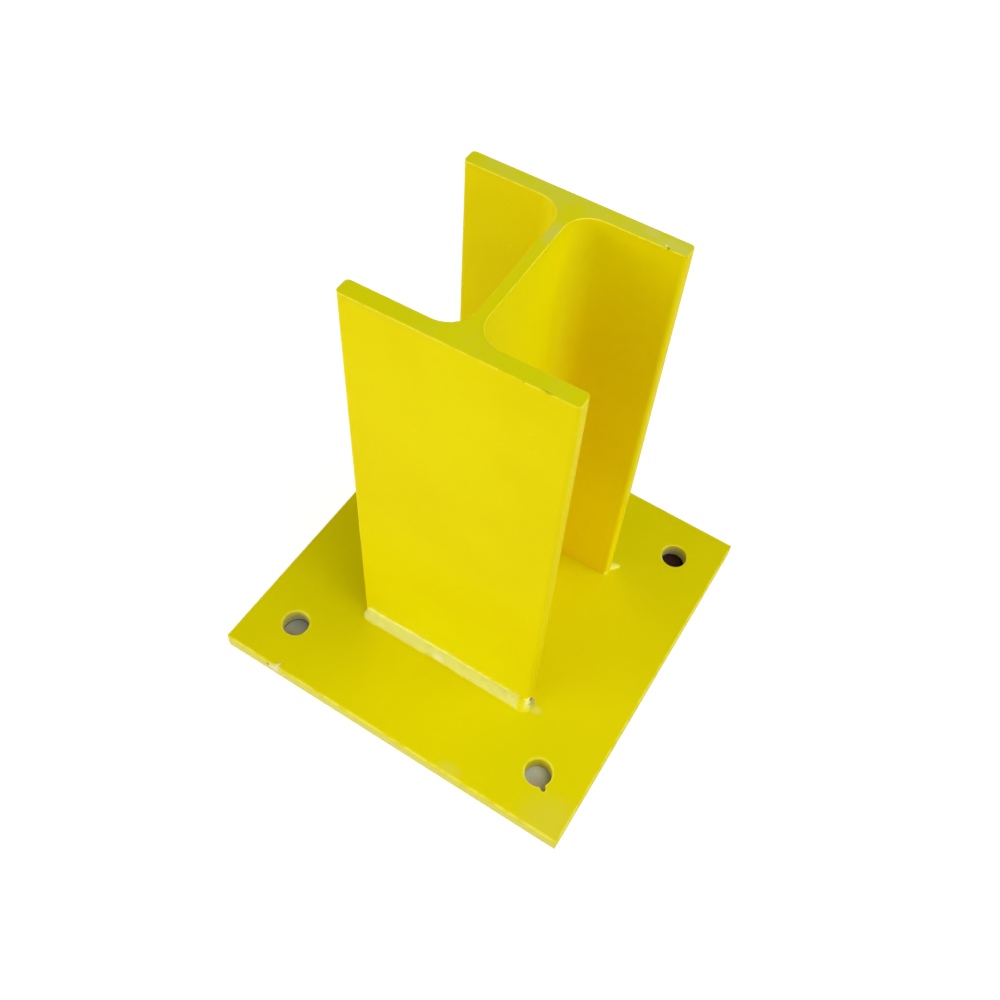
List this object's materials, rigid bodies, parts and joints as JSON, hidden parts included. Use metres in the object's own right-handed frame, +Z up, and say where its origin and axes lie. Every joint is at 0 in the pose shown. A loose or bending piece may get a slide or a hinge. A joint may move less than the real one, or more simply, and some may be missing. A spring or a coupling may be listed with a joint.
{
  "type": "low safety bollard",
  "caption": "Low bolt-down safety bollard: a short wide-flange steel section welded upright on a square base plate with anchor holes, painted yellow.",
  "frame": {"origin": "centre of the base plate's underside, on the floor", "axes": "+Z up along the post; +X along the base plate's front edge, the way the flanges run; +Y from the front flange to the rear flange, through the section's depth. The post is turned 2.1 degrees about +Z from the plate's sides, as it was welded"},
  "size_m": [0.2, 0.2, 0.25],
  "materials": {
    "yellow_paint": "satin yellow powder coat on steel",
    "weld_paint": "thin paler yellow coat over weld bead"
  },
  "bodies": {
    "root": {"base_plate": "yellow_paint", "post": "yellow_paint", "front_weld": "weld_paint", "rear_weld": "weld_paint", "right_web_weld": "weld_paint", "left_web_weld": "weld_paint"}
  },
  "joints": []
}
